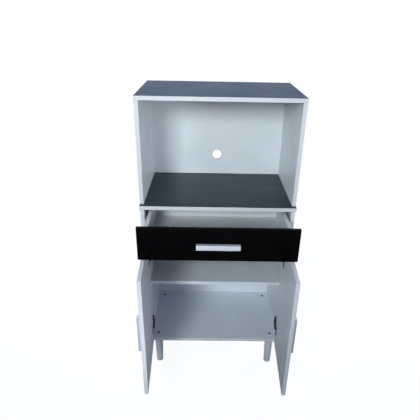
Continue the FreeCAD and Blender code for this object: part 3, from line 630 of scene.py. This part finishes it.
def lock_body(shape, points):
    """A cam with a cross recess, or its thin pin."""
    size = points.max(axis=0) - points.min(axis=0)
    lies_along_x = abs(size[Y] - size[Z]) < SAME_SIZE
    place, along, radii = stance(points, (inward(points), 0, 0) if lies_along_x else (0, 0, -1))
    wide = radii.max()
    low = along.min()
    top = along.max()
    if wide <= PIN_RADIUS:
        turned_body(shape, place, [(wide, low), (wide, top)], PIN_SIDES)
        return
    rim = wide * LOCK_RIM
    profile = [(rim, low), (wide, low + LOCK_CHAMFER), (wide, top - LOCK_CHAMFER), (rim, top)]
    turned_body(shape, place, profile, LOCK_SIDES, cross(LOCK_CROSS, wide), LOCK_RECESS)


for name in ("back_screws", "fitting_screws", "drawer_screws", "door_screws_left",
             "door_screws_right", "leg_bolts"):
    shape = bmesh.new()
    for points in islands(name):
        screw_body(shape, points, name == "leg_bolts")
    dressed(name, shape, nickel_with_painted_shade if name == "leg_bolts" else zinc)

for name in ("cam_locks", "drawer_cams"):
    shape = bmesh.new()
    for points in islands(name):
        lock_body(shape, points)
    dressed(name, shape, zinc)

for name, dome, sides, material, angle in (
        ("cam_caps", CAP_DOME, DISC_SIDES, white_plastic, CAP_CREASE),
        ("door_bumpers", BUMPER_DOME, SCREW_SIDES, soft_rubber, BUMPER_CREASE)):
    shape = bmesh.new()
    for points in islands(name):
        facing = (inward(points), 0, 0) if name == "cam_caps" else (0, -1, 0)
        place, along, radii = stance(points, facing)
        profile = scaled(dome, radii.max(), along.min(), along.max() - along.min())
        turned_body(shape, place, profile, sides)
    dressed(name, shape, material, angle)

shape = bmesh.new()
for points in islands("leg_glides"):
    place, along, radii = stance(points, (0, 0, 1))
    wide = radii.max()
    profile = [(wide * share, along.min() + up) for share, up in GLIDE_ROUND]
    profile.append((wide, along.max()))
    turned_body(shape, place, profile, DISC_SIDES)
dressed("leg_glides", shape, black_plastic)

for name in LEGS:
    low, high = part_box(name)
    centre = (low + high) / 2
    wide = (high.x - low.x) / 2
    foot = LEG_FOOT_RADIUS
    profile = [(foot - back, low.z + up) for back, up in LEG_FOOT_ROUND]
    rise = LEG_FOOT_ROUND[-1][1]
    chamfer, chamfer_height = LEG_TOP_CHAMFER
    tall = high.z - low.z - rise - chamfer_height
    profile += [(foot + (wide - foot) * share, low.z + rise + tall * share)
                for share in (0.25, 0.5, 0.75, 1.0)]
    profile.append((wide - chamfer, high.z))
    shape = bmesh.new()
    turned_body(shape, Matrix.Translation((centre.x, centre.y, 0)), profile, LEG_SIDES)
    dressed(name, shape, leg_paint)

for side in SIDES:
    shape = bmesh.new()
    for points in islands(f"hinge_arms_{side}"):
        # The screw stands square on the arm's slope, most of the way from its tail to its bend.
        to_middle = inward(points)
        reach = points[:, X] * to_middle
        tail = points[:, Y] > points[:, Y].max() - HAIR
        bend = reach > reach.max() - HAIR
        start = Vector((reach[tail].max(), points[tail, Y].max()))
        end = Vector((reach[bend].max(), points[bend, Y].max()))
        spot = start.lerp(end, ARM_SCREW_PLACE)
        level = (points[:, Z].min() + points[:, Z].max()) / 2
        place = Matrix.Translation((spot.x * to_middle, spot.y, level))
        place = place @ upright((to_middle * (start.y - end.y), end.x - start.x, 0))
        turned_body(shape, place, ARM_SCREW, ARM_SCREW_SIDES, cross(ARM_CROSS), ARM_RECESS)
    for points in islands(f"hinge_plates_{side}"):
        is_screw = points[:, Y].max() - points[:, Y].min() < PLATE_SCREW_LENGTH
        if is_screw:
            place, along, radii = stance(points, (inward(points), 0, 0))
            wide = radii.max()
            profile = [(wide * share, along.max() + up) for share, up in PLATE_SCREW]
            turned_body(shape, place, profile, SCREW_SIDES, cross(PLATE_CROSS, wide), PLATE_RECESS)
    finished(f"hinge_arm_screws_{side}", shape, bright_nickel, nodes[f"hinge_arms_{side}"]["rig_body"])

hole = next(mount for mount in frame["record"]["mounts"] if mount["name"] == "cable_hole")
collar = hole["dims"]["r_mm"] / 1000 - HAIR
place = Matrix.Translation((hole["pos_m"][X], foot_of("niche_back_panel", Y), hole["pos_m"][Z]))
place = place @ Matrix.Rotation(math.pi / 2, 4, "X")
shape = bmesh.new()
profile = [(collar + out, height) for out, height in RING_PROFILE]
rings = corner_rings(shape, place, profile, RING_SIDES)
skin(shape, rings + rings[:1])
finished("cable_ring", shape, ring_plastic, "carcass", RING_CREASE)

for side in SIDES:
    for part in ("outer_ball_cage", "inner_ball_cage"):
        name = f"{part}_{side}"
        low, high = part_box(name)
        shape = bmesh.new()
        for level in (low.z + BALL_ROW_INSET, high.z - BALL_ROW_INSET):
            for step in range(BALLS_PER_ROW):
                y = low.y + (high.y - low.y) * (step + 0.5) / BALLS_PER_ROW
                middle = Matrix.Translation(((low.x + high.x) / 2, y, level))
                bmesh.ops.create_icosphere(shape, subdivisions=2, radius=BALL_RADIUS, matrix=middle)
        finished(name + "_balls", shape, steel_ball, nodes[name]["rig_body"], NO_CREASE)


# ---- softened edges on the CAD pieces ------------------------------------------------
SMOOTH_UNDER = math.radians(32)
ROUNDED_OVER = math.radians(35)

# Metres.
MERGE_WITHIN = 0.00001
BOARD_ROUND = 0.0004
BACK_ROUND = 0.0003
THIN_ROUND = 0.0002


def edge_group(name, angle):
    """Joins a mesh's faces at their edges and shades it smooth where they meet gently."""
    group = bpy.data.node_groups.new(name, "GeometryNodeTree")
    group.interface.new_socket("Geometry", in_out="INPUT", socket_type="NodeSocketGeometry")
    group.interface.new_socket("Geometry", in_out="OUTPUT", socket_type="NodeSocketGeometry")
    kinds = ("NodeGroupInput", "GeometryNodeMergeByDistance", "GeometryNodeRemoveAttribute",
             "GeometryNodeSetShadeSmooth", "GeometryNodeSetShadeSmooth", "NodeGroupOutput")
    chain = [group.nodes.new(kind) for kind in kinds]
    start, merge, drop, faces, edges, end = chain
    merge.inputs["Distance"].default_value = MERGE_WITHIN
    drop.inputs["Name"].default_value = "custom_normal"
    edges.domain = "EDGE"
    edges.inputs["Shade Smooth"].default_value = False
    turn = group.nodes.new("GeometryNodeInputMeshEdgeAngle")
    sharp = group.nodes.new("FunctionNodeCompare")
    sharp.inputs[1].default_value = angle
    group.links.new(turn.outputs[0], sharp.inputs[0])
    group.links.new(sharp.outputs[0], edges.inputs["Selection"])
    for first, second in zip(chain, chain[1:]):
        group.links.new(first.outputs[0], second.inputs[0])
    return group


joined_edges = edge_group("joined_edges", SMOOTH_UNDER)


def soften(names, width):
    """Small rounds on the edges of CAD nodes, as wide as width in metres."""
    for name in names:
        joined = nodes[name].modifiers.new("joined_edges", "NODES")
        joined.node_group = joined_edges
        rounded = nodes[name].modifiers.new("rounded_edges", "BEVEL")
        rounded.width = width
        rounded.segments = 2
        rounded.limit_method = "ANGLE"
        rounded.angle_limit = ROUNDED_OVER
        rounded.harden_normals = True


soften(["bottom_panel", "drawer_rail", "inner_shelf", "drawer_back", "top_panel", "mid_panel",
        "drawer_front", "drawer_handle"], BOARD_ROUND)
soften(["niche_back_panel", "lower_back_panel", "drawer_bottom"], BACK_ROUND)
soften(["top_edge_band", "mid_edge_band", "shelf_pins"], THIN_ROUND)
for side in SIDES:
    soften([f"{part}_{side}" for part in ("upper_side", "lower_side", "door", "drawer_side",
                                          "door_handle")], BOARD_ROUND)
    soften([f"{part}_{side}" for part in ("slide_outer", "slide_middle", "slide_inner",
                                          "outer_ball_cage", "inner_ball_cage", "hinge_arms",
                                          "hinge_plates", "hinge_cups")], THIN_ROUND)


# ---- camera --------------------------------------------------------------------------
# Fitted to the photograph's outlines. The place is measured from the lower sides' front edge.
LENS_MM = 34.705
SENSOR_MM = 36.0
CAMERA_PLACE = (-0.04514, -1.41012, 1.49184)
IMAGE_RIGHT = Vector((0.9999, -0.0022, 0.0173))
IMAGE_DOWN = Vector((0.0147, -0.4334, -0.9011))

camera_data = bpy.data.cameras.new("photo_camera")
camera_data.sensor_width = SENSOR_MM
camera_data.lens = LENS_MM
camera = bpy.data.objects.new("photo_camera", camera_data)
scene.collection.objects.link(camera)
right = IMAGE_RIGHT.normalized()
down = IMAGE_DOWN.normalized()
turn = Matrix((right, -down, right.cross(-down))).transposed().to_4x4()
x, y, z = CAMERA_PLACE
camera.matrix_world = Matrix.Translation((x, y + foot_of("lower_side_left", Y), z)) @ turn
scene.camera = camera


# ---- room and floor ------------------------------------------------------------------
ROOM_COLOUR = (0.76, 0.78, 1.0, 1)
ROOM_STRENGTH = 0.413
PURE_WHITE = (1, 1, 1, 1)
FLOOR_COLOUR = (0.22, 0.23, 0.25, 1)
# What is added to the floor's own light where it is looked at.
FLOOR_GLOW = 0.87
# Metres from the stand's middle over which the floor fades to white, and how far it goes.
FLOOR_CLEAR = (0.7, 1.8)
FLOOR_REACH = 14.0


def empty_tree(owner):
    """The node tree of a world or material, with nothing in it."""
    owner.use_nodes = True
    owner.node_tree.nodes.clear()
    return owner.node_tree


world = bpy.data.worlds.new("studio")
tree = empty_tree(world)
scene.world = world
path = node(tree, "LightPath").outputs
looked_at = math_node(tree, "MAXIMUM", path["Is Camera Ray"], path["Is Glossy Ray"])
looked_at = math_node(tree, "MAXIMUM", looked_at, path["Is Transmission Ray"])
dim = node(tree, "Background", {"Color": ROOM_COLOUR, "Strength": ROOM_STRENGTH}).outputs[0]
white = node(tree, "Background", {"Color": PURE_WHITE, "Strength": 1.0}).outputs[0]
both = node(tree, "MixShader", {0: looked_at, 1: dim, 2: white}).outputs[0]
node(tree, "OutputWorld", {"Surface": both})

floor_data = bpy.data.meshes.new("floor")
shape = bmesh.new()
bmesh.ops.create_grid(shape, x_segments=1, y_segments=1, size=FLOOR_REACH)
shape.to_mesh(floor_data)
shape.free()
floor = bpy.data.objects.new("floor", floor_data)
scene.collection.objects.link(floor)
material = bpy.data.materials.new("pale_floor")
tree = empty_tree(material)
plain = node(tree, "BsdfDiffuse", {"Color": FLOOR_COLOUR}).outputs[0]
glow = node(tree, "Emission", {"Color": PURE_WHITE, "Strength": FLOOR_GLOW}).outputs[0]
lifted = node(tree, "AddShader", {0: plain, 1: glow}).outputs[0]
clear = node(tree, "Emission", {"Color": PURE_WHITE, "Strength": 1.0}).outputs[0]
spot = node(tree, "TexCoord").outputs["Object"]
distance = node(tree, "VectorMath", {0: spot}, operation="LENGTH").outputs[1]
fade = {"Value": distance, "From Min": FLOOR_CLEAR[0], "From Max": FLOOR_CLEAR[1]}
away = node(tree, "MapRange", fade, interpolation_type="SMOOTHSTEP").outputs[0]
ground = node(tree, "MixShader", {0: away, 1: lifted, 2: clear}).outputs[0]
path = node(tree, "LightPath").outputs
looked_at = math_node(tree, "MAXIMUM", path["Is Camera Ray"], path["Is Transmission Ray"])
mirrored = math_node(tree, "MULTIPLY", path["Is Glossy Ray"], away)
seen = math_node(tree, "MAXIMUM", looked_at, mirrored)
both = node(tree, "MixShader", {0: seen, 1: plain, 2: ground}).outputs[0]
node(tree, "OutputMaterial", {"Surface": both})
floor_data.materials.append(material)


# ---- lamps ---------------------------------------------------------------------------
def softbox(name, place, target, size, power, spread, colour):
    """Square lamp facing a point: metres, watts, and the degrees that a grid lets its beam have."""
    data = bpy.data.lights.new(name, "AREA")
    data.shape = "SQUARE"
    data.size = size
    data.energy = power
    data.spread = math.radians(spread)
    data.color = colour
    lamp = bpy.data.objects.new(name, data)
    scene.collection.objects.link(lamp)
    way = Vector(target) - Vector(place)
    turn = way.to_track_quat("-Z", "Y").to_matrix().to_4x4()
    lamp.matrix_world = Matrix.Translation(place) @ turn


softbox("key_light", (-0.889, -2.443, 2.0), (0, 0.1, 1.45),
        size=0.7, power=11.4, spread=76, colour=(0.935, 1.0, 0.97))
softbox("niche_light", (2.1, -1.7, 1.35), (-0.28, 0.1, 1.08),
        size=0.8, power=0.84, spread=22, colour=(0.93, 1.0, 1.0))
softbox("low_light", (-0.974, -2.411, 1.0), (0, 0.3, 0.3),
        size=0.5, power=0.36, spread=24, colour=(0.85, 1.0, 1.0))
softbox("door_light", (1.3, -2.3, 0.8), (-0.29, -0.35, 0.35),
        size=0.3, power=0.13, spread=12, colour=(1.0, 1.0, 1.0))
for side, way in (("left", -1), ("right", 1)):
    softbox(f"rear_light_{side}", (2.3 * way, 1.7, 0.8), (0.3 * way, 0.15, 0.7),
            size=0.7, power=7.0, spread=80, colour=(1.0, 0.98, 0.93))

scene.view_settings.view_transform = "Standard"
